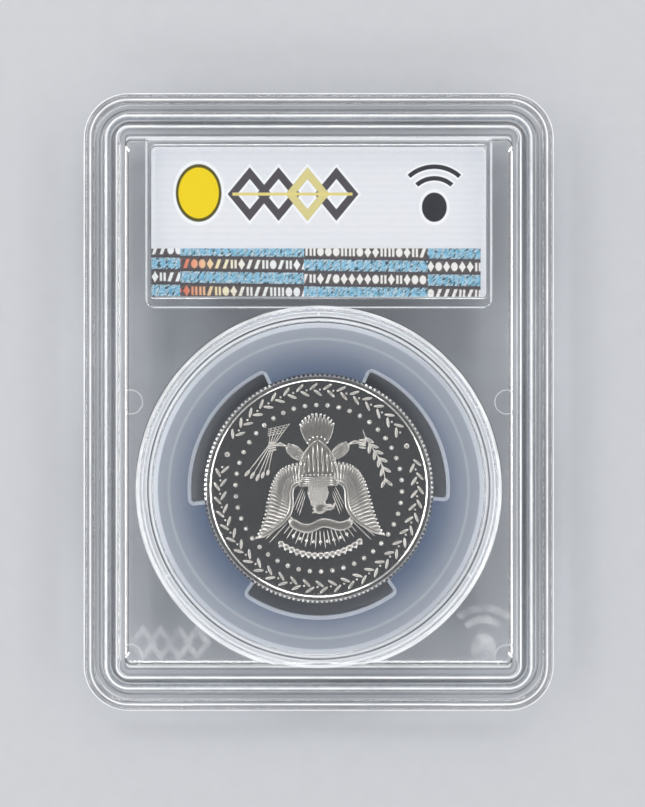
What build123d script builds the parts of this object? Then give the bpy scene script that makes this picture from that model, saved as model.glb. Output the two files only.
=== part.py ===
"""A welded two-shell holder for one graded coin, in millimetres.

The holder lies on its front face. X runs across it, Y runs up to the label's end, and Z points out
of its back face. The origin is the middle of its outline, on the plane that it rests on.
"""

import os
from math import cos, radians, sin

from build123d import *

# Holder outline
slab_width = 62.2
slab_length = 81.7
slab_thickness = 8.4
corner_radius = 6.0
smallest_corner = 1.0
edge_round = 0.8
parting_height = 4.2
seam_gap = 0.05
seam_chamfer = 0.15

# Stacking frames: one holder's front plateau nests inside the next one's back lip
lip_width = 1.5
nest_depth = 0.45
nest_clearance = 0.1
back_groove_width = 1.2
back_groove_depth = 0.4
frame_width = 4.3
frame_edge_round = 0.2

# Windows
window_recess = 1.1
window_wall = 1.5
bevel_run_sides = 1.2
bevel_run_ends = 2.05

# Inner cavity, measured in from the holder's outline
cavity_inset_sides = 5.1
cavity_inset_ends = 5.8

# Tongue, groove and the fused bead between them
groove_inset = 2.3
groove_width = 1.4
groove_depth = 0.9
tongue_clearance = 0.15
bead_width = 0.4
bead_height = 0.25

# Coin well, a ring wall in each shell with a round crest and a sloped buttress at its foot
well_centre_y = -11.5
well_radius = 22.2
well_wall = 1.2
well_crest_round = 0.35
well_buttress = 1.0
well_buttress_rise = 0.9
vent_count = 3
vent_width = 0.35
vent_depth = 0.5

# Coin
coin_diameter = 30.61
coin_thickness = 2.15
coin_rim_width = 0.95
coin_field_depth = 0.2
reed_count = 150
reed_depth = 0.12

# Gasket ring, with three prongs that grip the coin
gasket_side_clearance = 0.15
gasket_top_clearance = 0.1
gasket_crown_inset = 2.25
gasket_crown_run = 1.6
gasket_crown_rise = 0.12
gasket_shoulder = 0.65
gasket_shoulder_drop = 0.5
gasket_turn_at_rest = 1.0
prong_count = 3
opening_gap = 1.7
opening_angle = 70.5
opening_corner = 0.4
opening_bevel = 0.45

# Label and its pocket
label_width = 44.7
label_length = 20.1
label_corner = 0.6
label_centre_y = 24.0
pocket_clearance = 0.15
pocket_wall_sides = 0.55
pocket_wall_ends = 1.3
pocket_crest_round = 0.15
pad_margin = 0.5
pad_clearance = 0.02
sheet_thickness = 0.13
front_adhesive_thickness = 0.05
back_adhesive_thickness = 0.17
adhesive_margin = 0.3

# Contactless tag inside the label
film_thickness = 0.05
film_margin = 1.1
coil_margin = 0.9
coil_turns = 6
track_width = 0.55
track_pitch = 0.95
track_thickness = 0.03
via_size = 1.0
pad_size = 1.6
pad_gap = 0.5
chip_width = 1.4
chip_length = 1.0
chip_thickness = 0.11
bridge_width = 0.8
bridge_thickness = 0.02
recess_margin = 0.1
recess_clearance = 0.01

# Foil strip on the label's back
strip_width = 43.9
strip_length = 6.4
strip_thickness = 0.04
strip_lift = 0.1

# Shallow round marks that the ejector pins leave inside each window
ejector_radius = 1.6
ejector_depth = 0.08
ejector_inset_sides = 1.0
ejector_inset_end = 1.2

# Worked out from the sizes above
front_floor = window_recess + window_wall
back_ceiling = slab_thickness - window_recess - window_wall
back_land = slab_thickness - nest_depth
back_parting = parting_height + seam_gap
coin_radius = coin_diameter / 2
gasket_radius = well_radius - gasket_side_clearance
gasket_height = back_ceiling - front_floor - gasket_top_clearance
coin_bottom = front_floor + (gasket_height - coin_thickness) / 2
front_sheet_bottom = parting_height - (
    2 * sheet_thickness
    + front_adhesive_thickness
    + film_thickness
    + back_adhesive_thickness
    + strip_thickness
) / 2
front_adhesive_bottom = front_sheet_bottom + sheet_thickness
film_bottom = front_adhesive_bottom + front_adhesive_thickness
film_top = film_bottom + film_thickness
back_sheet_bottom = film_top + back_adhesive_thickness
back_sheet_top = back_sheet_bottom + sheet_thickness
strip_top = back_sheet_top + strip_thickness
well = Pos(0, well_centre_y)
pocket = Pos(0, label_centre_y)


def outline(inset_sides, inset_ends=None):
    """The holder's outline, a set distance in from its edge."""
    inset_ends = inset_sides if inset_ends is None else inset_ends
    radius = max(corner_radius - inset_sides, smallest_corner)
    return RectangleRounded(slab_width - 2 * inset_sides, slab_length - 2 * inset_ends, radius)


def prism(sketch, bottom, top):
    """A sketch raised from one height to another."""
    return extrude(Pos(0, 0, bottom) * sketch, amount=top - bottom)


def band(inset, width):
    """A band that follows the outline all the way round."""
    return outline(inset) - outline(inset + width)


def edges_on(solid, sketch, height):
    """The edges that lie on a sketch's border at one height."""
    border = (Pos(0, 0, height) * sketch).wires()[0]
    level = solid.edges().filter_by_position(Axis.Z, height - 1e-4, height + 1e-4)
    return [edge for edge in level if edge.distance_to(border) < 1e-4]


def well_ring(base, crest):
    """One shell's half of the coin well, from its window's inner face to its crest."""
    rise = well_buttress_rise if crest > base else -well_buttress_rise
    wall_radius = well_radius + well_wall
    section = Polyline(
        (well_radius, base),
        (wall_radius + well_buttress, base),
        (wall_radius, base + rise),
        (wall_radius, crest),
        (well_radius, crest),
        close=True,
    )
    ring = revolve(Plane.XZ * make_face(section), Axis.Z)
    crest_edges = ring.edges().filter_by_position(Axis.Z, crest - 1e-4, crest + 1e-4)
    return well * fillet(crest_edges.filter_by(GeomType.CIRCLE), well_crest_round)


def well_vents():
    """Narrow slots across the well's rim, which both shells' halves share."""
    slot = Box(2 * well_wall, vent_width, 2 * vent_depth)
    reach = Pos(well_radius + well_wall / 2, 0, parting_height)
    turns = (90 + 360 / vent_count * index for index in range(vent_count))
    return [well * Rot(0, 0, turn) * reach * slot for turn in turns]


def pocket_frame(base, crest):
    """One shell's half of the border that keeps the label in place."""
    inner_width = label_width + 2 * pocket_clearance
    inner_length = label_length + 2 * pocket_clearance
    corner = label_corner + pocket_clearance
    outer_width = inner_width + 2 * pocket_wall_sides
    outer_length = inner_length + 2 * pocket_wall_ends
    outer = RectangleRounded(outer_width, outer_length, corner + pocket_wall_sides)
    inner = RectangleRounded(inner_width, inner_length, corner)
    border = prism(outer - inner, min(base, crest), max(base, crest))
    crest_edges = edges_on(border, outer, crest) + edges_on(border, inner, crest)
    return pocket * fillet(crest_edges, pocket_crest_round)


def label_outline(margin):
    """The label's outline, a set distance in from its edge."""
    return pocket * RectangleRounded(
        label_width - 2 * margin, label_length - 2 * margin, label_corner
    )


def ejector_marks(bottom):
    """The marks of one shell, kept inside the cavity."""
    x = slab_width / 2 - cavity_inset_sides - ejector_inset_sides
    y = cavity_inset_ends + ejector_inset_end - slab_length / 2
    places = [(side * x, level) for side in (-1, 1) for level in (0, y)]
    dots = Sketch() + [Pos(*place) * Circle(ejector_radius) for place in places]
    return prism(dots & outline(cavity_inset_sides, cavity_inset_ends), bottom, bottom + ejector_depth)


def bevel(face_height, window_height):
    """The sloped way in from a frame's flat land to its window."""
    head = outline(frame_width)
    foot = outline(frame_width + bevel_run_sides, frame_width + bevel_run_ends)
    return loft([Pos(0, 0, face_height) * head, Pos(0, 0, window_height) * foot])


def make_front_shell():
    """The lower moulding: plateau, window, weld groove and the lower half of each inner wall."""
    plateau = outline(lip_width + nest_clearance)
    shell = prism(outline(0), nest_depth, parting_height)
    shell = fillet(edges_on(shell, outline(0), nest_depth), edge_round)
    shell = chamfer(edges_on(shell, outline(0), parting_height), seam_chamfer)
    shell += prism(plateau, 0, nest_depth)
    shell -= bevel(0, window_recess)
    shell = fillet(edges_on(shell, plateau, 0), frame_edge_round)
    shell = fillet(edges_on(shell, outline(frame_width), 0), frame_edge_round)
    shell -= prism(outline(cavity_inset_sides, cavity_inset_ends), front_floor, parting_height)
    shell += well_ring(front_floor, parting_height)
    shell += pocket_frame(front_floor, parting_height)
    shell += prism(label_outline(pad_margin), front_floor, front_sheet_bottom - pad_clearance)
    shell -= prism(band(groove_inset, groove_width), parting_height - groove_depth, parting_height)
    shell -= well_vents()
    return shell - ejector_marks(front_floor - ejector_depth)


def make_back_shell():
    """The upper moulding: lip, land, window, tongue and the upper half of each inner wall."""
    lip_foot = outline(lip_width)
    shell = prism(outline(0), back_parting, slab_thickness)
    shell = fillet(edges_on(shell, outline(0), slab_thickness), edge_round)
    shell = chamfer(edges_on(shell, outline(0), back_parting), seam_chamfer)
    shell -= prism(lip_foot, back_land, slab_thickness)
    shell = fillet(edges_on(shell, lip_foot, slab_thickness), frame_edge_round)
    shell -= prism(band(lip_width, back_groove_width), back_land - back_groove_depth, back_land)
    shell -= bevel(back_land, slab_thickness - window_recess)
    shell = fillet(edges_on(shell, outline(lip_width + back_groove_width), back_land), frame_edge_round)
    shell = fillet(edges_on(shell, outline(frame_width), back_land), frame_edge_round)
    shell -= prism(outline(cavity_inset_sides, cavity_inset_ends), back_parting, back_ceiling)
    shell += well_ring(back_ceiling, back_parting)
    shell += pocket_frame(back_ceiling, back_parting)
    shell += prism(label_outline(pad_margin), strip_top + pad_clearance, back_ceiling)
    tongue = band(groove_inset + tongue_clearance, groove_width - 2 * tongue_clearance)
    shell += prism(tongue, parting_height - groove_depth + bead_height, back_parting)
    shell -= well_vents()
    return shell - ejector_marks(back_ceiling)


def make_weld_bead():
    """The plastic that melted between the tongue's tip and the groove's floor."""
    line = band(groove_inset + (groove_width - bead_width) / 2, bead_width)
    bottom = parting_height - groove_depth
    return prism(line, bottom, bottom + bead_height)


def make_gasket():
    """A crowned ring whose openings leave three prongs round the coin."""
    crown = gasket_radius - gasket_crown_inset
    flat = crown - gasket_crown_run
    shoulder = gasket_radius - gasket_shoulder
    drop = gasket_crown_rise
    upper = [
        (coin_radius, gasket_height - drop),
        (flat, gasket_height - drop),
        (crown, gasket_height),
        (shoulder, gasket_height - drop),
        (gasket_radius, gasket_height - gasket_shoulder_drop),
    ]
    lower = [(radius, gasket_height - height) for radius, height in reversed(upper)]
    solid = revolve(Plane.XZ * make_face(Polyline(*upper, *lower, close=True)), Axis.Z)

    opening_radius = coin_radius + opening_gap
    half = radians(opening_angle / 2)
    x = opening_radius + 1
    wedge = Polygon((0, 0), (x, -x * sin(half) / cos(half)), (x, x * sin(half) / cos(half)), align=None)
    opening = wedge & Circle(opening_radius)
    outer_corners = opening.vertices().filter_by_position(Axis.X, opening_gap, opening_radius)
    opening = fillet(outer_corners, opening_corner)
    for index in range(prong_count):
        turn = 90 + 360 / prong_count * (index + 0.5)
        solid -= Rot(0, 0, turn) * prism(opening, 0, gasket_height)
    for level in (drop, gasket_height - drop):
        borders = solid.edges().filter_by_position(Axis.Z, level - 1e-4, level + 1e-4)
        reaches = [(edge, Vector(*tuple(edge.position_at(0.5))[:2]).length) for edge in borders]
        sides = [edge for edge, reach in reaches if coin_radius + 1e-3 < reach < flat - 1e-3]
        solid = chamfer(sides, opening_bevel)
    return well * Pos(0, 0, front_floor) * Rot(0, 0, gasket_turn_at_rest) * solid


def make_coin():
    """A blank with a reeded edge and a raised rim round each sunk field."""
    steps = 2 * reed_count
    radii = (coin_radius, coin_radius - reed_depth)
    points = [
        (radii[step % 2] * cos(radians(360 * step / steps)), radii[step % 2] * sin(radians(360 * step / steps)))
        for step in range(steps)
    ]
    field = Circle(coin_radius - coin_rim_width)
    coin = prism(Polygon(*points, align=None), 0, coin_thickness)
    coin -= prism(field, 0, coin_field_depth)
    coin -= prism(field, coin_thickness - coin_field_depth, coin_thickness)
    return well * Pos(0, 0, coin_bottom) * coin


def track(start, end):
    """One straight run of an etched track, square at both ends."""
    (x0, y0), (x1, y1) = start, end
    middle = Pos((x0 + x1) / 2, (y0 + y1) / 2)
    return middle * Rectangle(abs(x1 - x0) + track_width, abs(y1 - y0) + track_width)


coil_x = label_width / 2 - film_margin - coil_margin
coil_y = label_length / 2 - film_margin - coil_margin
pad_x = (pad_size + pad_gap) / 2


def make_antenna():
    """A square spiral from the outer via in to the first pad, and the second pad beside it."""
    route = [(pad_x, -coil_y)]
    for turn in range(coil_turns):
        inset = turn * track_pitch
        route += [
            (coil_x - inset, inset - coil_y),
            (coil_x - inset, coil_y - inset),
            (inset - coil_x, coil_y - inset),
            (inset - coil_x, inset + track_pitch - coil_y),
        ]
    route += [(-pad_x, route[-1][1]), (-pad_x, 0)]
    via = Pos(pad_x, (track_width - via_size) / 2 - coil_y) * Rectangle(via_size, via_size)
    pads = [Pos(side * pad_x, 0) * Rectangle(pad_size, pad_size) for side in (-1, 1)]
    etched = via + pads + [track(*run) for run in zip(route, route[1:])]
    return prism(pocket * etched, film_top, film_top + track_thickness)


def bridge_outline(margin):
    """The jumper from the outer via to the second pad."""
    length = coil_y + via_size / 2 + pad_size / 2
    return pocket * Pos(pad_x, (pad_size - via_size) / 4 - coil_y / 2) * Rectangle(
        bridge_width + 2 * margin, length + 2 * margin
    )


def make_adhesive_front():
    """The adhesive under the tag's film, with room for the jumper."""
    sheet = prism(label_outline(adhesive_margin), front_adhesive_bottom, film_bottom)
    room = film_bottom - bridge_thickness - recess_clearance
    return sheet - prism(bridge_outline(recess_margin), room, film_bottom)


def make_adhesive_back():
    """The adhesive over the tag's film, with room for the coil and the chip."""
    sheet = prism(label_outline(adhesive_margin), film_top, back_sheet_bottom)
    reach = track_width / 2 + via_size - track_width + recess_margin
    coil_room = pocket * Rectangle(2 * (coil_x + reach), 2 * (coil_y + reach))
    sheet -= prism(coil_room, film_top, film_top + track_thickness + recess_clearance)
    chip_room = pocket * Rectangle(chip_width + 2 * recess_margin, chip_length + 2 * recess_margin)
    chip_top = film_top + track_thickness + chip_thickness
    return sheet - prism(chip_room, film_top, chip_top + recess_clearance)


def make_strip():
    """The foil strip, flush with one side of the label and just above its lower edge."""
    x = (strip_width - label_width) / 2
    y = (strip_length - label_length) / 2 + strip_lift
    return prism(pocket * Pos(x, y) * Rectangle(strip_width, strip_length), back_sheet_top, strip_top)


chip_outline = pocket * Rectangle(chip_width, chip_length)
chip_bottom = film_top + track_thickness
nodes = {
    "front_shell": make_front_shell(),
    "back_shell": make_back_shell(),
    "weld_bead": make_weld_bead(),
    "coin_gasket": make_gasket(),
    "coin": make_coin(),
    "label_front_sheet": prism(label_outline(0), front_sheet_bottom, front_adhesive_bottom),
    "adhesive_front": make_adhesive_front(),
    "nfc_film": prism(label_outline(film_margin), film_bottom, film_top),
    "nfc_antenna": make_antenna(),
    "nfc_bridge": prism(bridge_outline(0), film_bottom - bridge_thickness, film_bottom),
    "nfc_chip": prism(chip_outline, chip_bottom, chip_bottom + chip_thickness),
    "adhesive_back": make_adhesive_back(),
    "label_back_sheet": prism(label_outline(0), back_sheet_bottom, back_sheet_top),
    "hologram_strip": make_strip(),
}

os.makedirs("parts", exist_ok=True)
for name, shape in nodes.items():
    export_step(shape, f"parts/{name}.step")
    print(name, round(shape.volume, 2), len(shape.solids()))
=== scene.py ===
"""Looks of a welded two-shell coin holder, in the order in which it is put together."""
from math import atan2, cos, hypot, pi, radians, sin

import bmesh
import bpy
from mathutils import Matrix, Vector, geometry


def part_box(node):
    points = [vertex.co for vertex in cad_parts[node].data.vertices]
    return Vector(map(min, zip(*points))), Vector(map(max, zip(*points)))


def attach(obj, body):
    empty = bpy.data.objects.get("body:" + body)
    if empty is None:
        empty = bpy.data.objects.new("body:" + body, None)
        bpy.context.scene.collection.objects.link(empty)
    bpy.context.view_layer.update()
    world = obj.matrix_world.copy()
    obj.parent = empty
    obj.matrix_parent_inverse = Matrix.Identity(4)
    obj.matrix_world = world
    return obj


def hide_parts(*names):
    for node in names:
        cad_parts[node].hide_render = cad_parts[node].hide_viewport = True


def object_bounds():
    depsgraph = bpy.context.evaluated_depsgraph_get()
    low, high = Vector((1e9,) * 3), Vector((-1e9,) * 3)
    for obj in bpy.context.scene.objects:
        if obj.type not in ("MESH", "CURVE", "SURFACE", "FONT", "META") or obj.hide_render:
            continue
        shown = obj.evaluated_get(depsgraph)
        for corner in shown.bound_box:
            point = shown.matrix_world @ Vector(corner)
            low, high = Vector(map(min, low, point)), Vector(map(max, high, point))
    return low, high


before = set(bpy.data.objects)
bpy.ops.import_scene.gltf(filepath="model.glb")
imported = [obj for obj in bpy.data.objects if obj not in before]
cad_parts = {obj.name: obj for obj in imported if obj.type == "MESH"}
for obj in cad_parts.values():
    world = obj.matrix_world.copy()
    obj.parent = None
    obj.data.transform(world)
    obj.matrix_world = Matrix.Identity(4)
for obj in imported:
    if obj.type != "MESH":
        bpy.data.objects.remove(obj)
cad_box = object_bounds()
low, high = cad_box
mm = 0.001

# Camera: square above the holder's back, with the whole outline in view and a margin of table.
camera_height = 300 * mm
view_width = 85.1 * mm
view_middle = (0.5 * mm, -0.2 * mm)
camera_data = bpy.data.cameras.new("camera")
camera_data.sensor_fit = "HORIZONTAL"
camera_data.lens = camera_data.sensor_width * camera_height / view_width
camera_data.clip_start = 10 * mm
camera = bpy.data.objects.new("camera", camera_data)
camera.location = (*view_middle, high.z + camera_height)
bpy.context.collection.objects.link(camera)
bpy.context.scene.camera = camera


# Front shell: a clear polystyrene moulding that lies face down and carries the lower half of every
# wall. It comes polished from the tool, with a faint waviness in its skin and a few rubbed spots.
class Shade:
    """A socket in a material's tree; arithmetic on it adds Math nodes."""

    def __init__(self, tree, socket=None):
        self.tree, self.socket = tree, socket

    def node(self, kind, settings=None, inputs=None, out=0):
        """Adds a node: its settings first, then the values or links of its sockets."""
        made = self.tree.nodes.new("ShaderNode" + kind)
        settings = dict(settings or {})
        for index, (position, colour) in enumerate(settings.pop("stops", ())):
            held = made.color_ramp.elements
            stop = held[index] if index < len(held) else held.new(position)
            stop.position, stop.color = position, (*colour, 1)
        for name, value in settings.items():
            setattr(made, name, value)
        for name, value in (inputs or {}).items():
            if isinstance(value, Shade):
                self.tree.links.new(value.socket, made.inputs[name])
            else:
                made.inputs[name].default_value = value
        return Shade(self.tree, made.outputs[out] if made.outputs else None)

    def math(self, operation, *values):
        return self.node("Math", {"operation": operation}, dict(enumerate(values)))

    def __add__(self, other):
        return self.math("ADD", self, other)

    def __sub__(self, other):
        return self.math("SUBTRACT", self, other)

    def __rsub__(self, other):
        return self.math("SUBTRACT", other, self)

    def __mul__(self, other):
        return self.math("MULTIPLY", self, other)

    def __truediv__(self, other):
        return self.math("DIVIDE", self, other)

    __radd__, __rmul__ = __add__, __mul__

    def size(self):
        return self.math("ABSOLUTE", self)

    def larger(self, other):
        return self.math("MAXIMUM", self, other)

    def smaller(self, other):
        return self.math("MINIMUM", self, other)

    def below(self, edge, blur):
        """1 where this is under an edge and 0 where it is over, with a short ramp between."""
        limits = {"Value": self, "From Min": edge + blur / 2, "From Max": edge - blur / 2}
        return self.node("MapRange", None, limits)

    def near(self, middle, reach, blur):
        """1 within a reach of a middle value, 0 outside it."""
        return (self - middle).size().below(reach, blur)

    def distance(self, *others):
        """The length of a vector that has this and some other lengths as its sides."""
        total = self * self
        for other in others:
            total = total + other * other
        return total.math("SQRT", total)

    def axes(self):
        """A vector's three parts."""
        split = self.node("SeparateXYZ", None, {"Vector": self})
        return [Shade(self.tree, output) for output in split.socket.node.outputs]

    def noise(self, scale, detail=2):
        """Soft noise from 0 to 1 at this place, with a number of cells in a metre."""
        return self.node("TexNoise", None, {"Vector": self, "Scale": scale, "Detail": detail})

    def blend(self, first, second):
        """The first colour where this is 0 and the second where it is 1."""
        colours = {
            socket: colour if isinstance(colour, Shade) else (*colour, 1)
            for socket, colour in ((6, first), (7, second))
        }
        return self.node("Mix", {"data_type": "RGBA"}, {0: self, **colours}, 2)

    def ramp(self, *stops):
        """A colour for each value of this from 0 to 1."""
        return self.node("ValToRGB", {"stops": stops}, {"Fac": self})

    def bump(self, distance, strength=1):
        """The normal of a skin with this as its height, from 0 to a distance in metres."""
        return self.node("Bump", None, {"Height": self, "Strength": strength, "Distance": distance})

    def surface(self, **inputs):
        """Ends a material in one Principled shader."""
        named = {
            name.replace("_", " "): (*value, 1) if isinstance(value, tuple) else value
            for name, value in inputs.items()
        }
        self.node("OutputMaterial", None, {"Surface": self.node("BsdfPrincipled", None, named)})


def material(name):
    """A new material, with the place on the object as a vector and as three lengths."""
    made = bpy.data.materials.new(name)
    made.use_nodes = True
    made.node_tree.nodes.clear()
    place = Shade(made.node_tree).node("TexCoord", None, None, "Object")
    return made, place, *place.axes()


def finish_node(name, made):
    """Gives a CAD node its material."""
    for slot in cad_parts[name].material_slots:
        slot.material = made


def clear_plastic(name, glints_and_marks, tint_and_painted_shade):
    """Clear polystyrene, from two functions of place: where a white cloud is mixed in, mostly as painted
    highlights, and its tint, which also carries painted shade.

    Rays that only carry lamp light or soft light go straight through it, so it casts no dark shadow.
    """
    made, place, x, y, z = material(name)
    wear_and_glint = place.noise(300, 4).below(0.38, 0.1)
    polish = {
        "Base Color": tint_and_painted_shade(place, x, y, z),
        "Roughness": wear_and_glint * 0.05 + 0.004,
        "IOR": 1.58,
        "Transmission Weight": 1,
        "Normal": place.noise(160, 3).bump(0.02 * mm, 0.1),
    }
    glass = place.node("BsdfPrincipled", None, polish)
    milk = place.node("BsdfPrincipled", None, {"Base Color": (0.96, 0.96, 0.965, 1), "Roughness": 0.4})
    skin = place.node("MixShader", None, {0: glints_and_marks(place, x, y, z), 1: glass, 2: milk})
    lit_past = place.node("LightPath", None, None, "Is Shadow Ray")
    lit_past = lit_past.larger(place.node("LightPath", None, None, "Is Diffuse Ray"))
    passing = place.node("BsdfTransparent", None, {"Color": (0.93, 0.94, 0.95, 1)})
    shell = place.node("MixShader", None, {0: lit_past, 1: skin, 2: passing})
    place.node("OutputMaterial", None, {"Surface": shell})
    return made


holder_middle = (low + high) / 2
half_x, half_y = (high.x - low.x) / 2, (high.y - low.y) / 2
outline_corner = 6 * mm
window_depth = 2.6 * mm
well_low, well_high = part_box("coin_gasket")
well = (well_low + well_high) / 2
well_radius = (well_high.x - well_low.x) / 2
label_low, label_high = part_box("label_back_sheet")
label = (label_low + label_high) / 2
pocket_x, pocket_y = label_high.x - label.x + 0.7 * mm, label_high.y - label.y + 1.45 * mm


def outline_inset(x, y):
    """How far inside the holder's outline a place is."""
    side = (x.size() - (half_x - outline_corner)).larger(0.0)
    return outline_corner - side.distance((y.size() - (half_y - outline_corner)).larger(0.0))


def between_windows(z):
    """1 on the walls that stand between the two windows, and 0 on the windows and past them."""
    return z.near(holder_middle.z, holder_middle.z - window_depth - 0.02 * mm, 0.01 * mm)


def moulding_painted_glints(place, x, y, z):
    """Painted highlights, laid on as a white cloud in the clear plastic: its well's crest, its pocket's
    edge and its outer edges, patchy there with noise.
    """
    across, up = x - well.x, y - well.y
    reach, turn = across.distance(up), up.math("ARCTAN2", up, across)
    round_it = place.node("CombineXYZ", None, {"X": turn * 2.5, "Y": reach * 900})
    streaks = round_it.noise(2.2, 4)
    # Painted highlight: bright rings on the well's crest and at its foot, and a line along the pocket's
    # edge
    crest_glint = reach.near(well_radius + 0.45 * mm, 0.14 * mm, 0.08 * mm)
    crest_glint = crest_glint.larger(reach.near(well_radius + 1.16 * mm, 0.32 * mm, 0.1 * mm)) * (streaks * 1.2 + 0.4)
    foot = reach.near(well_radius + 2.05 * mm, 0.22 * mm, 0.1 * mm) * (streaks * 1.2 + 0.2)
    pocket_gap = ((x - label.x).size() - pocket_x).larger((y - label.y).size() - pocket_y)
    pocket_glint = pocket_gap.near(-0.1 * mm, 0.11 * mm, 0.08 * mm) * 0.55
    inset = outline_inset(x, y)
    # Painted highlight lines along the steps of the outer edge, broken up by noise
    edge_glint_lines = inset.near(0.07 * mm, 0.13 * mm, 0.06 * mm)
    for edge_step, half_line in ((0.95, 0.1), (1.95, 0.08), (3.0, 0.12), (4.4, 0.1)):
        edge_glint_lines = edge_glint_lines.larger(inset.near(edge_step * mm, half_line * mm, 0.08 * mm))
    wear_and_glint = edge_glint_lines * (place.noise(240, 3) * 0.9 + 0.4)
    outside = 1 - z.near(holder_middle.z, holder_middle.z - 0.6 * mm, 0.05 * mm)
    return (crest_glint.larger(foot).larger(pocket_glint) * between_windows(z)).larger(wear_and_glint * outside)


def tint_with_painted_shade(place, x, y, z):
    """The resin's own faint tint, with painted shade in two dark rings of the well wall, where its steps
    bend the light.
    """
    resin = place.noise(30).blend((0.986, 0.985, 0.983), (0.992, 0.991, 0.989))
    reach = (x - well.x).distance(y - well.y)
    # Painted shade: two dark rings on the well wall between the windows
    painted_dark_rings = reach.near(well_radius + 0.76 * mm, 0.05 * mm, 0.12 * mm)
    painted_dark_rings = painted_dark_rings.larger(reach.near(well_radius + 1.68 * mm, 0.08 * mm, 0.14 * mm))
    uneven = place.noise(120, 3).below(0.62, 0.3)
    return (painted_dark_rings * between_windows(z) * uneven).blend(resin, (0.22, 0.22, 0.24))


finish_node("front_shell", clear_plastic("front_shell_plastic", moulding_painted_glints, tint_with_painted_shade))

# Gasket ring: a milky elastomer moulding with a low crown, cut through by three openings that leave
# three prongs. It drops into the well and grips the coin, and the two turn together.
milky, place, x, y, z = material("milky_elastomer")
reach = (x - well.x).distance(y - well.y) / well_radius
mottle = place.noise(700, 4) * 0.12 + 0.94
# The ramp holds the elastomer's blue-grey with painted light: painted shade towards the coin and painted
# highlights on the crown and at the outer edge
slope_highlight = place.node("NewGeometry", None, None, "Normal").axes()[2].size().below(0.985, 0.02)
tone_and_painted_light = reach.ramp(
    (0.70, (0.105, 0.140, 0.215)),
    (0.78, (0.170, 0.205, 0.275)),
    (0.85, (0.265, 0.295, 0.355)),
    (0.892, (0.31, 0.34, 0.395)),
    (0.902, (0.43, 0.46, 0.50)),
    (0.918, (0.33, 0.36, 0.41)),
    (0.96, (0.36, 0.39, 0.44)),
    (1.0, (0.52, 0.55, 0.60)),
)
# Painted highlight: sloping faces, such as the openings' bevels, are painted lighter
tone_and_painted_light = (slope_highlight * 0.55).blend(tone_and_painted_light, (0.62, 0.65, 0.70))
place.surface(
    Base_Color=mottle.blend((0.0, 0.0, 0.0), tone_and_painted_light),
    Roughness=place.noise(400) * 0.14 + 0.34,
    Normal=place.noise(2500, 3).bump(0.006 * mm, 0.5),
    Subsurface_Weight=0.15,
    Subsurface_Scale=1.5 * mm,
    Coat_Weight=0.25,
    Coat_Roughness=0.3,
)
finish_node("coin_gasket", milky)

# Coin: a blank struck between two dies, inside a collar that presses the reeds into its edge. The
# fields are mirrors and what stands up from them is frosted. It sits in the gasket's prongs.
coin_low, coin_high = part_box("coin")
coin_middle = (coin_low + coin_high) / 2
coin_radius = (coin_high.x - coin_low.x) / 2 / mm
coin_half = (coin_high.z - coin_low.z) / 2 / mm
rim_width = 0.95
field_depth = 0.2
field = coin_half - field_depth
reeds = 150
reed_depth = 0.12
root_depth = 0.03
coin_turn = radians(181.7)
MIRROR, FROST, RIM = range(3)

# The dies are drawn in millimetres about the coin's middle, upright, and scaled at the end.
coin = bmesh.new()
# From the field outwards and down the edge: radius, height and the depth of the reeds' notches
rim_steps = [
    (coin_radius - rim_width, field, 0),
    (coin_radius - rim_width + 0.08, coin_half - 0.04, 0),
    (coin_radius - rim_width + 0.2, coin_half, 0),
    (coin_radius - 0.42, coin_half, 0),
    (coin_radius - 0.34, coin_half - 0.02, 0),
    (coin_radius - 0.05, coin_half - 0.17, 1.6 * reed_depth),
    (coin_radius, coin_half - 0.3, reed_depth),
]
rim_steps += [(radius, -height, notch) for radius, height, notch in reversed(rim_steps)]
ring = bmesh.ops.create_circle(coin, segments=4 * reeds, radius=1)["verts"]
for step, (radius, height, notch) in enumerate(rim_steps):
    if step:
        border = [edge for edge in coin.edges if all(end in ring for end in edge.verts)]
        made = bmesh.ops.extrude_edge_only(coin, edges=border)["geom"]
        ring = {part for part in made if isinstance(part, bmesh.types.BMVert)}
    for corner in ring:
        turn = atan2(corner.co.y, corner.co.x)
        out = radius - notch * max(0, cos(reeds * turn))
        corner.co = (out * cos(turn), out * sin(turn), height)
bmesh.ops.holes_fill(coin, edges=[edge for edge in coin.edges if edge.is_boundary])
bmesh.ops.recalc_face_normals(coin, faces=coin.faces)
for face in coin.faces:
    face.material_index = MIRROR if len(face.verts) > 4 else RIM
    reach = face.calc_center_median().xy.length
    face.smooth = face.material_index == RIM and reach < coin_radius - 0.3


def close_under(form, height):
    """Cuts a form off at a height and closes it there."""
    parts = form.verts[:] + form.edges[:] + form.faces[:]
    bmesh.ops.bisect_plane(form, geom=parts, plane_co=(0, 0, height), plane_no=(0, 0, 1), clear_inner=True)
    bmesh.ops.holes_fill(form, edges=[edge for edge in form.edges if edge.is_boundary])
    bmesh.ops.recalc_face_normals(form, faces=form.faces)
    for face in form.faces:
        face.material_index = FROST
        face.smooth = face.normal.z > -0.5


def new_dome(sides, finish):
    """A closed dome of unit size, cut off a little under its widest ring."""
    dome = bmesh.new()
    bmesh.ops.create_uvsphere(dome, u_segments=sides, v_segments=6, radius=1)
    close_under(dome, -0.2)
    for face in dome.faces:
        face.material_index = finish
    mesh = bpy.data.meshes.new("dome")
    dome.to_mesh(mesh)
    dome.free()
    return mesh


domes = {(sides, finish): new_dome(sides, finish) for sides in (6, 8, 10) for finish in (FROST, RIM)}


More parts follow.
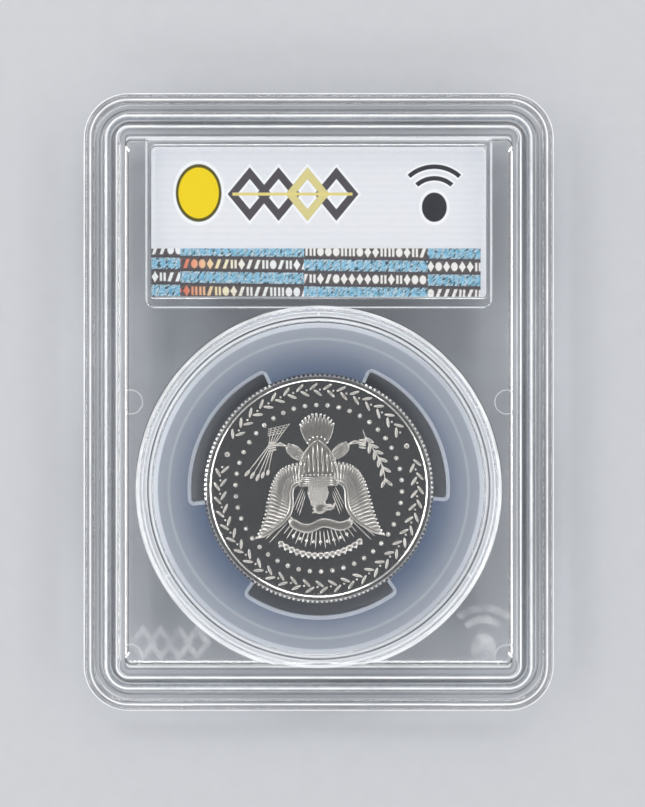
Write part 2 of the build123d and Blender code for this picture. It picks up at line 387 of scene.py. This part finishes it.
def add_lens(die, place, reach, width, height, turn=0.0, lift=0.0, sides=10, finish=FROST):
    """A smooth swelling, longer along its turn; a die's picture is drawn as many of them."""
    form = Matrix.Translation((*place[:2], field + lift)) @ Matrix.Rotation(turn, 4, "Z")
    swelling = domes[sides, finish].copy()
    swelling.transform(form @ Matrix.Diagonal((reach, width, height, 1)))
    die.from_mesh(swelling)
    bpy.data.meshes.remove(swelling)


def add_quill(die, start, end, width, height, lift=0.0):
    """A swelling from one point to another."""
    start, end = Vector(start[:2]), Vector(end[:2])
    run = end - start
    add_lens(die, (start + end) / 2, run.length / 2, width, height, atan2(run.y, run.x), lift)


def add_ridge(die, points, width, height, lift=0.0):
    """A raised line along some points, slimmer at both ends."""
    points = [Vector((*point[:2], field + lift)) for point in points]
    line = bmesh.new()
    ring = bmesh.ops.create_circle(line, segments=10, radius=1)["verts"]
    before = Matrix.Identity(4)
    for index, point in enumerate(points):
        run = points[min(index + 1, len(points) - 1)] - points[max(index - 1, 0)]
        slim = 0.35 if index in (0, len(points) - 1) else 1
        form = Matrix.Translation(point) @ run.to_track_quat("Z", "Y").to_matrix().to_4x4()
        form = form @ Matrix.Diagonal((width / 2 * slim, height * slim, 1, 1))
        if index:
            border = [edge for edge in line.edges if all(end in ring for end in edge.verts)]
            made = bmesh.ops.extrude_edge_only(line, edges=border)["geom"]
            ring = [part for part in made if isinstance(part, bmesh.types.BMVert)]
        bmesh.ops.transform(line, matrix=form @ before.inverted(), verts=ring)
        before = form
    bmesh.ops.holes_fill(line, edges=[edge for edge in line.edges if edge.is_boundary])
    close_under(line, field + lift - root_depth)
    strip = bpy.data.meshes.new("strip")
    line.to_mesh(strip)
    die.from_mesh(strip)
    line.free()
    bpy.data.meshes.remove(strip)


def polar(radius, degrees):
    """A place from its distance and direction."""
    return Vector((radius * cos(radians(degrees)), radius * sin(radians(degrees))))


def curve(*points, steps=12):
    """Points along one Bezier curve, from its two ends and the handles between them."""
    return geometry.interpolate_bezier(*(Vector((*point, 0)) for point in points), steps)


def add_sprig(die, points, leaf, berry):
    """A stem with pairs of leaves and a berry at each pair."""
    add_ridge(die, points, 0.18, 0.07)
    for before, point in zip(points, points[1:]):
        heading = atan2(point.y - before.y, point.x - before.x)
        for side in (-1, 1):
            turn = heading + side * radians(38)
            out = Vector((cos(turn), sin(turn))) * leaf
            add_lens(die, point.xy + out, leaf, 0.36 * leaf, 0.13, turn)
        add_lens(die, point, berry, berry, 0.14, sides=8)


# The reverse: a plain heraldic bird with a striped shield, a sprig and a sheaf of darts
reverse = bmesh.new()
feathers = 26
leading_edge = curve((2.4, -0.9), (5.8, 0.2), (0.4, 3.0), (8.4, 6.4), steps=feathers)
trailing_edge = curve((2.2, -3.5), (7.6, -3.8), (6.4, 2.4), (8.5, 6.3), steps=feathers)
for side in (-1, 1):
    inner = [(side * p.x, p.y) for p in leading_edge]
    outer = [(side * p.x, p.y) for p in trailing_edge]
    for root, tip in zip(inner, outer):
        root, tip = Vector(root), Vector(tip)
        add_quill(reverse, root, tip, 0.32, 0.12)
        add_quill(reverse, root, root.lerp(tip, 0.62), 0.26, 0.145)
        add_quill(reverse, root, root.lerp(tip, 0.34), 0.28, 0.165)
        add_lens(reverse, root.lerp(tip, 0.93), 0.14, 0.14, 0.16, sides=6, finish=RIM)
    add_ridge(reverse, inner, 0.62, 0.18)

    thigh = Vector((side * 3.0, -4.9))
    add_lens(reverse, thigh, 1.5, 0.85, 0.13, side * radians(-38))
    for row in range(4):
        for place in (-0.4, 0, 0.4):
            tuft = Vector((side * (1.9 + 0.62 * row + 0.3 * place), -4.0 - 0.48 * row + place))
            add_lens(reverse, tuft, 0.42, 0.2, 0.05, side * radians(-38), 0.1, 8)
    foot = Vector((side * 5.95, -5.85))
    add_ridge(reverse, [(side * 4.1, -5.75), (side * 5.0, -6.05), foot], 0.5, 0.11)
    for claw in range(4):
        heel = foot + Vector((side * -0.5, 0.5 - 0.3 * claw))
        nail = foot + Vector((side * 0.55, 0.7 - 0.36 * claw))
        add_quill(reverse, heel, nail, 0.15, 0.17)

# Shield: a pad with a pointed foot, finely ruled above a row of beads and striped below it
flank = curve((2.45, -0.25), (2.95, -2.4), (2.3, -5.1), (0, -6.45), steps=14)
border = [Vector((p.x, p.y)) for p in flank] + [Vector((-p.x, p.y)) for p in reversed(flank[:-1])]
pad = bmesh.new()
plate = pad.faces.new([pad.verts.new((*point, field - root_depth)) for point in border])
made = bmesh.ops.extrude_face_region(pad, geom=[plate])["geom"]
top = [part for part in made if isinstance(part, bmesh.types.BMFace)]
bmesh.ops.translate(pad, vec=(0, 0, 0.11 + root_depth), verts=top[0].verts)
bmesh.ops.inset_region(pad, faces=top, thickness=0.18, depth=0.03)
bmesh.ops.recalc_face_normals(pad, faces=pad.faces)
for face in pad.faces:
    face.material_index = FROST
plate = bpy.data.meshes.new("shield")
pad.to_mesh(plate)
reverse.from_mesh(plate)
pad.free()
bpy.data.meshes.remove(plate)
for stripe in range(-3, 4):
    foot = -2.1 - 4.0 * (1 - (abs(stripe) / 3.9) ** 1.6)
    run = [(0.62 * stripe, -2.1), (0.62 * stripe, (foot - 2.1) / 2), (0.6 * stripe, foot)]
    add_ridge(reverse, run, 0.3, 0.035, 0.143)
for line in range(5):
    band = -1.45 + 0.24 * line
    add_ridge(reverse, [(-2.25, band), (0, band), (2.25, band)], 0.2, 0.035, 0.135)
for bead in range(-4, 5):
    add_lens(reverse, (0.54 * bead, -1.8), 0.13, 0.13, 0.06, lift=0.13, sides=8, finish=RIM)
add_ridge(reverse, [p.xy for p in flank], 0.26, 0.165)
add_ridge(reverse, [(-p.x, p.y) for p in flank], 0.26, 0.165)

# Tail: a fan of eleven feathers with bright tips, and a curve of beads across it
for feather in range(-5, 6):
    tip = Vector((0, -6.0)) + polar(3.85 - 0.022 * feather**2, -90 + 8.2 * feather)
    add_quill(reverse, (0.18 * feather, -5.6), tip, 0.38, 0.06)
    add_lens(reverse, tip, 0.24, 0.16, 0.15, atan2(tip.y + 6, tip.x), sides=8, finish=RIM)
for tuft in range(-3, 4):
    foot = Vector((0, -5.4)) + polar(1.5, -90 + 21 * tuft)
    add_lens(reverse, foot, 0.15, 0.15, 0.19, sides=8, finish=RIM)

# Head, turned to one side, on a neck of small feathers, with a short crest and a hooked beak
add_lens(reverse, (0.1, 0.6), 1.5, 1.45, 0.13, radians(90))
add_lens(reverse, (0.15, 1.6), 1.2, 1.05, 0.14, radians(95))
add_lens(reverse, (-0.15, 2.6), 0.98, 0.82, 0.17, radians(15))
add_quill(reverse, (-0.7, 2.72), (-2.05, 2.55), 0.33, 0.165)
add_quill(reverse, (-1.8, 2.66), (-2.12, 1.95), 0.17, 0.15)
add_quill(reverse, (-0.8, 2.3), (-1.7, 2.2), 0.14, 0.14)
add_lens(reverse, (-0.55, 2.72), 0.14, 0.14, 0.05, lift=0.14, sides=8)
add_quill(reverse, (-0.98, 2.98), (-0.2, 3.02), 0.1, 0.05, 0.14)
for tuft in range(4):
    add_quill(reverse, (0.2, 3.0 - 0.3 * tuft), (1.0 - 0.06 * tuft, 3.25 - 0.5 * tuft), 0.15, 0.15)
for row in range(6):
    for tuft in range(-3, 4):
        spread = 0.38 - 0.026 * row
        place = (0.1 + spread * (tuft + 0.5 * (row % 2)), -0.1 + 0.42 * row)
        add_lens(reverse, place, 0.27, 0.15, 0.06, radians(90 - 8 * tuft), 0.1, 8)
for side in (-1, 1):
    for ray in range(4):
        start = Vector((side * (1.75 + 0.12 * ray), 0.7 - 0.35 * ray))
        add_quill(reverse, start, start + Vector((side * (1.0 + 0.12 * ray), 2.9)), 0.06, 0.09)

# Sprig in one foot, darts in the other
add_sprig(reverse, curve((-6.1, -7.6), (-6.6, -5.2), (-8.6, -4.6), (-8.9, -0.9), steps=7), 0.62, 0.2)
for dart in range(-2, 3):
    head = Vector((8.3 + 0.75 * dart, -1.2 - 0.35 * abs(dart)))
    grip = Vector((6.15 + 0.16 * dart, -5.9))
    tail = Vector((5.0 + 0.6 * dart, -8.3 + 0.12 * dart))
    add_ridge(reverse, [tail, grip, head], 0.14, 0.07)
    add_quill(reverse, head.lerp(grip, 0.2), head, 0.22, 0.13)
    for row in range(4):
        barb = tail.lerp(grip, 0.02 + 0.13 * row)
        add_quill(reverse, barb, barb + Vector((0.3, -0.12)), 0.07, 0.12)
        add_quill(reverse, barb, barb + Vector((-0.22, -0.24)), 0.07, 0.12)

# Plain ribbon, rays, beads and a bank of cloud over the head
ribbon = curve((-4.4, 4.3), (-2.6, 6.3), (-1.2, 4.0), (0.1, 4.75), steps=9)
ribbon += curve((0.1, 4.75), (1.4, 5.6), (2.6, 5.6), (4.1, 4.0), steps=9)[1:]
add_ridge(reverse, ribbon, 1.25, 0.1)
for side in (-1, 1):
    add_ridge(reverse, [p.xy + Vector((0, side * 0.52)) for p in ribbon], 0.18, 0.13)
for ray in range(-8, 9):
    slant = 90 + 4.9 * ray
    add_quill(reverse, polar(5.6, slant), polar(8.1 if ray % 2 else 7.7, slant), 0.07, 0.09)
for slant in (37, 42, 46, 134, 138, 143):
    add_quill(reverse, polar(6.0, slant), polar(9.9, slant), 0.09, 0.11)
for bead in range(-4, 5):
    add_lens(reverse, polar(7.15, 90 + 7.4 * bead), 0.23, 0.23, 0.17, sides=8, finish=RIM)
for puff in range(-7, 8):
    add_lens(reverse, polar(8.9, 90 + 5.1 * puff), 0.46, 0.36, 0.14, radians(5.1 * puff))
    add_lens(reverse, polar(9.25, 90 + 5.1 * puff), 0.2, 0.2, 0.14, sides=8, finish=RIM)

# Ring of round studs, and a border of leaves and berries with a dot in each of its gaps
studs, stud_ring = 46, 11.1
for stud in range(studs):
    place = polar(stud_ring, 360 / studs * (stud + 0.5))
    add_lens(reverse, place, 0.31, 0.31, 0.06, sides=8)
    add_lens(reverse, place, 0.17, 0.15, 0.195, radians(70), sides=6, finish=RIM)
units, border_ring = 46, 13.15
dot_slants = (204, 338)
for unit in range(units):
    slant = 360 / units * (unit + 0.5)
    if min(abs(slant - dot_slant) for dot_slant in dot_slants) < 6:
        continue
    for side in (-1, 1):
        leaf = polar(border_ring + 0.42 * side, slant + 1.2 * side)
        add_lens(reverse, leaf, 0.72, 0.2, 0.14, radians(slant + 90 + side * 38), sides=8)
    add_lens(reverse, polar(border_ring, slant - 2.4), 0.15, 0.15, 0.13, sides=6)
for slant in dot_slants:
    add_lens(reverse, polar(13.0, slant), 0.36, 0.36, 0.16)

# The other face: an open wreath round a five-pointed star, inside a ring of beads
obverse = bmesh.new()
for side in (-1, 1):
    branch = [polar(9.6, -90 + side * (12 + 12.5 * step)) for step in range(13)]
    add_sprig(obverse, [Vector((*point, 0)) for point in branch], 1.05, 0.26)
for point in range(5):
    slant = 90 + 72 * point
    add_quill(obverse, (0, 0), polar(5.6, slant), 0.85, 0.17)
    add_quill(obverse, (0, 0), polar(2.9, slant + 36), 0.3, 0.13)
add_lens(obverse, (0, 0), 1.5, 1.5, 0.17)
for bead in range(72):
    add_lens(obverse, polar(13.5, 5 * bead), 0.3, 0.3, 0.14, sides=8)
bmesh.ops.rotate(obverse, matrix=Matrix.Rotation(pi, 4, "X"), verts=obverse.verts)

for die in (reverse, obverse):
    relief = bpy.data.meshes.new("relief")
    die.to_mesh(relief)
    coin.from_mesh(relief)
    bpy.data.meshes.remove(relief)
    die.free()
bmesh.ops.scale(coin, vec=(mm, mm, mm), verts=coin.verts)
bmesh.ops.rotate(coin, matrix=Matrix.Rotation(coin_turn, 4, "Z"), verts=coin.verts)
bmesh.ops.translate(coin, vec=coin_middle, verts=coin.verts)


def piece(name, mesh_source, body, slot, replaced, *finishes):
    """Turns a bmesh into an object that rides on a body and stands for a CAD node."""
    mesh = bpy.data.meshes.new(name)
    mesh_source.to_mesh(mesh)
    mesh_source.free()
    for made in finishes:
        mesh.materials.append(made)
    made = bpy.data.objects.new(name, mesh)
    bpy.context.collection.objects.link(made)
    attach(made, body)
    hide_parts(replaced)
    return made


mirror, place, x, y, z = material("struck_mirror")
haze = place.noise(260, 3)
place.surface(
    Base_Color=haze.blend((0.72, 0.74, 0.75), (0.86, 0.86, 0.84)),
    Metallic=1.0,
    Roughness=haze * 0.05 + 0.02,
    Normal=place.noise(220, 2).bump(0.004 * mm, 0.3),
)
frost, place, x, y, z = material("struck_frost")
grain = place.noise(6000, 4)
place.surface(
    Base_Color=grain.blend((0.44, 0.42, 0.395), (0.68, 0.655, 0.615)),
    Metallic=1.0,
    Roughness=grain * 0.2 + 0.22,
    Normal=grain.bump(0.006 * mm, 0.5),
)
polished, place, x, y, z = material("struck_rim")
wear = place.noise(1500, 3)
across, up = (x - coin_middle.x) / mm, (y - coin_middle.y) / mm
# The base colour is darker in the notches between the reeds near the edge
round_edge = (up.math("ARCTAN2", up, across) - coin_turn) * reeds
notch = round_edge.math("COSINE", round_edge) * 0.5 + 0.5
notch = notch * (1 - across.distance(up).below(coin_radius - 0.3, 0.1))
bright = wear.blend((0.78, 0.77, 0.75), (0.93, 0.92, 0.89))
place.surface(
    Base_Color=(notch * 0.85).blend(bright, (0.08, 0.08, 0.085)),
    Metallic=1.0,
    Roughness=wear * 0.14 + 0.08,
)
piece("coin_struck", coin, "coin_insert", "coin_metal", "coin", mirror, frost, polished)


# Label, front sheet: coated paper, printed on the side that faces down. Plain bars stand for its
# lines of print, with a barred block and an oval seal.
def ink(red, green, blue):
    """A printed colour, from its three screen values out of 255."""
    return tuple((value / 255) ** 2.2 for value in (red, green, blue))


sheet_front, place, x, y, z = material("label_front_print")
across, up = (x - label.x) / mm, (y - label.y) / mm
paper = place.noise(1800, 5)
shade = (up / 20 + 0.5).ramp((0.0, ink(150, 184, 214)), (1.0, ink(214, 228, 238)))
colour = paper.blend(shade, ink(236, 240, 244))
line_row = (up + 2.2) / 2.6
in_line = (line_row - line_row.math("FLOOR", line_row) - 0.5).size().below(0.2, 0.06)
words = (across * 0.9).math("FLOOR", across * 0.9) + line_row.math("FLOOR", line_row) * 17
word_gap = place.node("TexWhiteNoise", {"noise_dimensions": "1D"}, {"W": words}).below(0.8, 0.01)
written = in_line * word_gap * across.near(1.5, 11.5, 0.1) * up.near(3.1, 5.2, 0.1)
colour = written.blend(colour, ink(38, 44, 60))
bar_column = (across * 3.6).math("FLOOR", across * 3.6)
bar_noise = place.node("TexWhiteNoise", {"noise_dimensions": "1D"}, {"W": bar_column})
bars = bar_noise.below(0.52, 0.01) * across.near(1.5, 11.5, 0.05) * up.near(-6.2, 1.9, 0.05)
colour = bars.blend(colour, ink(26, 28, 34))
seal_reach = ((across + 16) / 3.1).distance((up - 3) / 3.9)
colour = seal_reach.below(1.0, 0.04).blend(colour, ink(62, 70, 30))
colour = seal_reach.below(0.86, 0.04).blend(colour, ink(240, 200, 20))
place.surface(Base_Color=colour, Roughness=paper * 0.2 + 0.35, Normal=paper.bump(0.004 * mm, 0.4))
finish_node("label_front_sheet", sheet_front)

# Adhesive under the tag: a clear pressure-sensitive film, rolled onto the front sheet's back. A cut
# in it leaves room for the tag's jumper.
adhesive, place, x, y, z = material("clear_adhesive")
streaks = place.node("TexWave", None, {"Vector": place, "Scale": 260, "Distortion": 3.0})
place.surface(
    Base_Color=streaks.blend(ink(232, 226, 204), ink(246, 243, 230)),
    Roughness=streaks * 0.15 + 0.25,
    Normal=place.noise(900, 3).bump(0.01 * mm, 0.4),
)
finish_node("adhesive_front", adhesive)

# Tag: etched aluminium on a polyester film, a spiral antenna with a jumper back to its second pad.
# The chip is bonded across the two pads.
polyester, place, x, y, z = material("polyester_film")
place.surface(
    Base_Color=place.noise(500, 3).blend(ink(208, 216, 222), ink(232, 236, 240)),
    Roughness=place.noise(900) * 0.1 + 0.12,
    Coat_Weight=0.5,
)
finish_node("nfc_film", polyester)
foil, place, x, y, z = material("etched_aluminium")
rolled = place.node("TexWave", None, {"Vector": place, "Scale": 3000, "Distortion": 2.0, "Detail": 3})
place.surface(
    Base_Color=rolled.blend(ink(188, 190, 194), ink(226, 228, 232)),
    Metallic=1.0,
    Roughness=rolled * 0.12 + 0.24,
    Normal=rolled.bump(0.002 * mm, 0.4),
)
for name in ("nfc_antenna", "nfc_bridge"):
    finish_node(name, foil)
silicon, place, x, y, z = material("silicon_chip")
cell = place.node("TexVoronoi", {"distance": "CHEBYCHEV"}, {"Vector": place, "Scale": 9000})
place.surface(
    Base_Color=cell.blend(ink(40, 42, 48), ink(92, 96, 108)),
    Roughness=cell * 0.2 + 0.18,
    Coat_Weight=0.6,
)
finish_node("nfc_chip", silicon)
finish_node("adhesive_back", adhesive)

# Label, back sheet: coated paper, printed on the side that faces up with an oval seal, a band of
# crossing lozenges with a thin gold line and a contactless sign, each in a thin white edge.
sheet_back, place, x, y, z = material("label_back_print")
across, up = (x - label.x) / mm, (y - label.y) / mm
paper = place.noise(1500, 5)
ground = (up / 20 + 0.5).ramp(
    (0.0, ink(226, 225, 228)),
    (0.55, ink(236, 235, 237)),
    (1.0, ink(228, 227, 230)),
)
ground = paper.blend(ground, ink(240, 239, 241))
security = (up * 7 + (across * 0.9).math("SINE", across * 0.9) * 2.4).math("SINE", up * 7)
colour = (security * 0.05 + 0.05).blend(ground, ink(190, 200, 214))

seal_x, seal_y, seal_half_x, seal_half_y = -16.0, 3.85, 3.05, 3.85
sign_x, sign_y = 15.4, 2.3
band_start, band_middle = -11.5, 3.7
link_pitch, link_half_x, link_half_y, link_half_line = 3.85, 2.3, 2.8, 0.5


def chain_links(across, up):
    """The distance to each of four crossing lozenges, in a band that starts at its left end."""
    links = []
    for link in range(4):
        link_x = (across - link_half_x - link_pitch * link) / link_half_x
        gap = (link_x.size() + (up / link_half_y).size() - 1).size()
        links.append(gap * (link_half_x * link_half_y / hypot(link_half_x, link_half_y)))
    return links


def nearest(gaps):
    """The smallest of some distances."""
    smallest = gaps[0]
    for gap in gaps[1:]:
        smallest = smallest.smaller(gap)
    return smallest


def sign_gaps(across, up):
    """The distance to two arcs, how far outside their opening it is, and a round dot's own reach."""
    reach = across.distance(up)
    arcs = (reach - 5.05).size().smaller((reach - 3.5).size())
    return arcs, across.size() - up * 0.9, (across / 1.7).distance((up + 0.35) / 2.0)


links = chain_links(across - band_start, up - band_middle)
chain = nearest(links)
gold_line = (up - band_middle).size().below(0.2, 0.06) * across.near(-3.5, 8.0, 0.1)
seal_reach = ((across - seal_x) / seal_half_x).distance((up - seal_y) / seal_half_y)
arcs, outside, dot = sign_gaps(across - sign_x, up - sign_y)

halo = chain.below(0.8, 0.1).larger(seal_reach.below(1.13, 0.04))
halo = halo.larger(arcs.below(0.56, 0.1) * outside.below(0.25, 0.1)).larger(dot.below(1.2, 0.08))
colour = halo.blend(colour, ink(252, 252, 252))
colour = chain.below(link_half_line, 0.08).blend(colour, ink(78, 74, 78))
colour = links[2].below(link_half_line, 0.08).blend(colour, ink(222, 208, 140))
colour = gold_line.blend(colour, ink(232, 214, 132))
colour = seal_reach.below(1.0, 0.03).blend(colour, ink(86, 80, 22))
colour = seal_reach.below(0.88, 0.03).blend(colour, ink(248, 214, 12))
sign = (arcs.below(0.3, 0.06) * outside.below(0.0, 0.08)).larger(dot.below(0.98, 0.05))
colour = sign.blend(colour, ink(44, 44, 50))
place.surface(
    Base_Color=colour,
    Roughness=paper * 0.15 + 0.42,
    Normal=paper.bump(0.004 * mm, 0.4),
)
finish_node("label_back_sheet", sheet_back)

# Foil strip: diffraction foil, stamped in slanting rows of small figures. The figures are white and
# blue by turns, in blocks, and the foil is bonded across the label's lower edge.
strip_low, strip_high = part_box("hologram_strip")
row_pitch, block_length, first_block, figure_pitch = 1.8, 16.5, 3.9, 1.05
row_slant, row_start = 0.012, 0.75
strip_foil, place, x, y, z = material("diffraction_foil")
along = (x - strip_low.x) / mm
down = (strip_high.y - y) / mm - along * row_slant + row_start


def whole(value):
    """A value's whole part."""
    return value.math("FLOOR", value)


row = whole(down / row_pitch)
block = whole((along - first_block) / block_length)
odd = (row + block).math("PINGPONG", row + block, 1)
figure = whole(along / figure_pitch)
in_row = (down / row_pitch - row - 0.5) * row_pitch
in_figure = (along / figure_pitch - figure - 0.5) * figure_pitch
draw = place.node("TexWhiteNoise", {"noise_dimensions": "1D"}, {"W": figure * 3.1 + row * 17.3})
lozenge = (in_figure.size() * 1.6 + in_row.size()).below(0.74, 0.12)
disc = in_figure.distance(in_row * 0.75).below(0.44, 0.1)
bar = (in_figure + in_row * 0.35).size().below(0.22, 0.1) * in_row.size().below(0.6, 0.1)
pair = (in_figure.size() - 0.25).size().below(0.15, 0.1) * in_row.size().below(0.56, 0.1)
shape = draw.below(0.28, 0.01) * lozenge
shape = shape.larger(draw.near(0.42, 0.14, 0.01) * disc)
shape = shape.larger(draw.near(0.665, 0.105, 0.002) * bar)
shape = shape.larger((1 - draw.below(0.77, 0.002)) * pair)
# Painted sheen: slanting streaks of light and dark across the foil, with white streaks in the blue blocks
slanted = (along + down * 0.9) * 0.001
streak_place = place.node("CombineXYZ", None, {"X": slanted * 3.0, "Y": (along - down * 2) * 0.0006})
streak_inputs = {"Vector": streak_place, "Scale": 900, "Detail": 3}
painted_sheen = place.node("TexNoise", {"noise_dimensions": "2D"}, streak_inputs)
# Painted rainbow colour of the foil, warm at the start of the first block and fading to white; the later
# figures stay white
in_block = (along - first_block) / block_length - block
painted_rainbow = in_block.ramp(
    (0.0, ink(226, 110, 96)),
    (0.12, ink(250, 176, 140)),
    (0.3, ink(255, 238, 190)),
    (0.55, ink(252, 252, 246)),
    (1.0, ink(255, 255, 255)),
)
figure_colour = along.below(20.4, 0.4).blend(ink(255, 252, 246), painted_rainbow)
white_block = shape.blend(painted_sheen.blend(ink(66, 58, 60), ink(130, 122, 120)), figure_colour)
blue_with_sheen = painted_sheen.ramp(
    (0.36, ink(74, 92, 104)),
    (0.46, ink(112, 150, 164)),
    (0.54, ink(240, 248, 250)),
    (0.62, ink(116, 172, 198)),
)
blue_block = (shape * 0.6).blend(blue_with_sheen, ink(140, 208, 240))
colour = odd.blend(blue_block, white_block)
row_line = in_row.size().below(0.76, 0.08)
colour = row_line.blend(ink(92, 88, 92), colour)
place.surface(
    Base_Color=colour,
    Metallic=0.12,
    Roughness=painted_sheen * 0.2 + 0.22,
    Normal=shape.bump(0.01 * mm, 0.5),
    Coat_Weight=0.3,
)
finish_node("hologram_strip", strip_foil)

# Back shell: the mating moulding, with the tongue, the stacking lip and the upper half of each wall.
# Faint pale figures, a painted reflection of the label's band and sign, sit in its window's lower corners,
# with the round marks of the ejector pins.
pin_x, pin_levels, pin_radius = 25.0, (0, -33.85), 1.6
band_shrink = 1.6


def back_glints_and_marks(place, x, y, z):
    """The moulding's painted highlights, the pale figures that are a painted reflection of the label's
    print, and the borders of the ejector marks.
    """
    u, v = x / mm, y / mm
    inside = z.near(high.z - window_depth, 0.2 * mm, 0.01 * mm)
    # Pale copies of the label's band and sign, shrunk: a painted reflection
    links = chain_links((u + 24.8) * band_shrink, (v + 32.0) * band_shrink)
    chain = nearest(links).below(0.6, 0.7)
    arcs, outside, dot = sign_gaps(u - 21.9, v + 32.4)
    reflected_figures = chain.larger(arcs.below(0.45, 0.4) * outside.below(0.0, 0.3)).larger(dot.below(1.0, 0.2))
    pins = [(u.size() - pin_x).distance(v - level).near(pin_radius, 0.07, 0.06) for level in pin_levels]
    reflections_and_pin_marks = (reflected_figures * ((place.noise(450, 4) - 0.25) * 0.7)).larger(pins[0].larger(pins[1]) * 0.45) * inside
    return moulding_painted_glints(place, x, y, z).larger(reflections_and_pin_marks)


def back_tint_with_painted_shade(place, x, y, z):
    """The resin's tint, with painted shade in dark bands along the steps of the edge on its top faces,
    where the walls behind it bend the light.
    """
    painted_edge_shade = (outline_inset(x, y) / outline_corner).ramp(
        (0.03, (0.9, 0.9, 0.9)),
        (0.065, (0.26, 0.26, 0.27)),
        (0.1, (0.32, 0.32, 0.33)),
        (0.135, (0.9, 0.9, 0.9)),
        (0.18, (0.9, 0.9, 0.9)),
        (0.215, (0.4, 0.4, 0.41)),
        (0.26, (0.44, 0.44, 0.45)),
        (0.31, (0.95, 0.95, 0.95)),
        (0.36, (0.6, 0.6, 0.6)),
        (0.43, (0.6, 0.6, 0.6)),
        (0.48, (0.97, 0.97, 0.97)),
        (0.52, (0.97, 0.97, 0.97)),
        (0.565, (0.2, 0.21, 0.22)),
        (0.61, (0.3, 0.31, 0.31)),
        (0.65, (0.13, 0.13, 0.14)),
        (0.69, (0.2, 0.2, 0.2)),
        (0.715, (0.9, 0.9, 0.9)),
        (0.75, (0.9, 0.9, 0.9)),
        (0.79, (0.45, 0.45, 0.46)),
        (0.83, (0.75, 0.75, 0.75)),
        (0.85, (0.98, 0.98, 0.98)),
        (0.895, (0.98, 0.98, 0.98)),
        (0.92, (0.28, 0.28, 0.28)),
        (0.955, (0.985, 0.987, 0.989)),
    )
    # The painted shade lies only on the top faces, unevenly
    upper = (1 - z.below(high.z - 1.8 * mm, 0.1 * mm)) * (place.noise(55, 4) * 0.7 + 0.5).smaller(1.0)
    return upper.blend(tint_with_painted_shade(place, x, y, z), painted_edge_shade)


finish_node("back_shell", clear_plastic("back_shell_plastic", back_glints_and_marks, back_tint_with_painted_shade))

# Weld bead: polystyrene that melted in the bottom of the groove as the shells were pressed together
# under ultrasound. It froze rough and full of fine bubbles, so it looks white.
bead, place, x, y, z = material("weld_flash")
froth = place.noise(2600, 5)
place.surface(
    Base_Color=froth.blend(ink(150, 154, 162), ink(250, 251, 252)),
    Roughness=froth * 0.4 + 0.3,
    Normal=froth.bump(0.06 * mm, 1.0),
)
finish_node("weld_bead", bead)

# Table: a pale sheet of card under the holder, larger than any view of it.
card = bmesh.new()
bmesh.ops.create_grid(card, x_segments=1, y_segments=1, size=2)
bmesh.ops.translate(card, vec=(0, 0, low.z - 0.03 * mm), verts=card.verts)
table_mesh = bpy.data.meshes.new("table")
card.to_mesh(table_mesh)
card.free()
card_finish, place, x, y, z = material("pale_card")
fibre = place.noise(400, 5)
place.surface(
    Base_Color=fibre.blend(ink(186, 187, 190), ink(192, 193, 196)),
    Roughness=0.8,
    Normal=fibre.bump(0.05 * mm, 0.2),
)
table_mesh.materials.append(card_finish)
table = bpy.data.objects.new("table", table_mesh)
bpy.context.collection.objects.link(table)

# Colours are shown as they are mixed, with no film curve over them.
bpy.context.scene.view_settings.view_transform = "Standard"

# Light: a dim tent overhead, so that flat mirrors stay dark, bright near the horizon, with four long
# soft strips for the glints along the walls. Straight views past the table meet a plain pale backdrop.
world = bpy.data.worlds.new("light_tent")
world.use_nodes = True
world.node_tree.nodes.clear()
tent = Shade(world.node_tree)
height = tent.node("TexCoord", None, None, "Generated").axes()[2]
sky = height.ramp(
    (0.04, (0.03, 0.03, 0.035)),
    (0.16, (0.55, 0.56, 0.58)),
    (0.6, (0.84, 0.845, 0.86)),
    (0.88, (0.26, 0.27, 0.29)),
    (0.97, (0.1, 0.102, 0.108)),
)
backdrop = tent.node("LightPath", None, None, "Is Camera Ray").blend(sky, (0.58, 0.585, 0.6))
glow = tent.node("Background", None, {"Color": backdrop, "Strength": 1.0})
tent.node("OutputWorld", None, {"Surface": glow})
bpy.context.scene.world = world


def strip_light(name, place, length, width, watts):
    """A long soft light, level with the table and aimed at the holder."""
    lamp = bpy.data.lights.new(name, "AREA")
    lamp.shape, lamp.size, lamp.size_y, lamp.energy = "RECTANGLE", length, width, watts
    made = bpy.data.objects.new(name, lamp)
    made.location = place
    made.rotation_euler = (-Vector(place)).to_track_quat("-Z", "Y").to_euler()
    bpy.context.collection.objects.link(made)


strip_light("left_strip", (-0.85, 0.05, 0.42), 1.1, 0.16, 6.0)
strip_light("right_strip", (0.9, -0.05, 0.38), 1.1, 0.14, 4.6)
strip_light("far_strip", (0.05, 0.9, 0.5), 1.1, 0.14, 4.8)
strip_light("near_strip", (-0.05, -0.95, 0.36), 1.1, 0.12, 3.6)
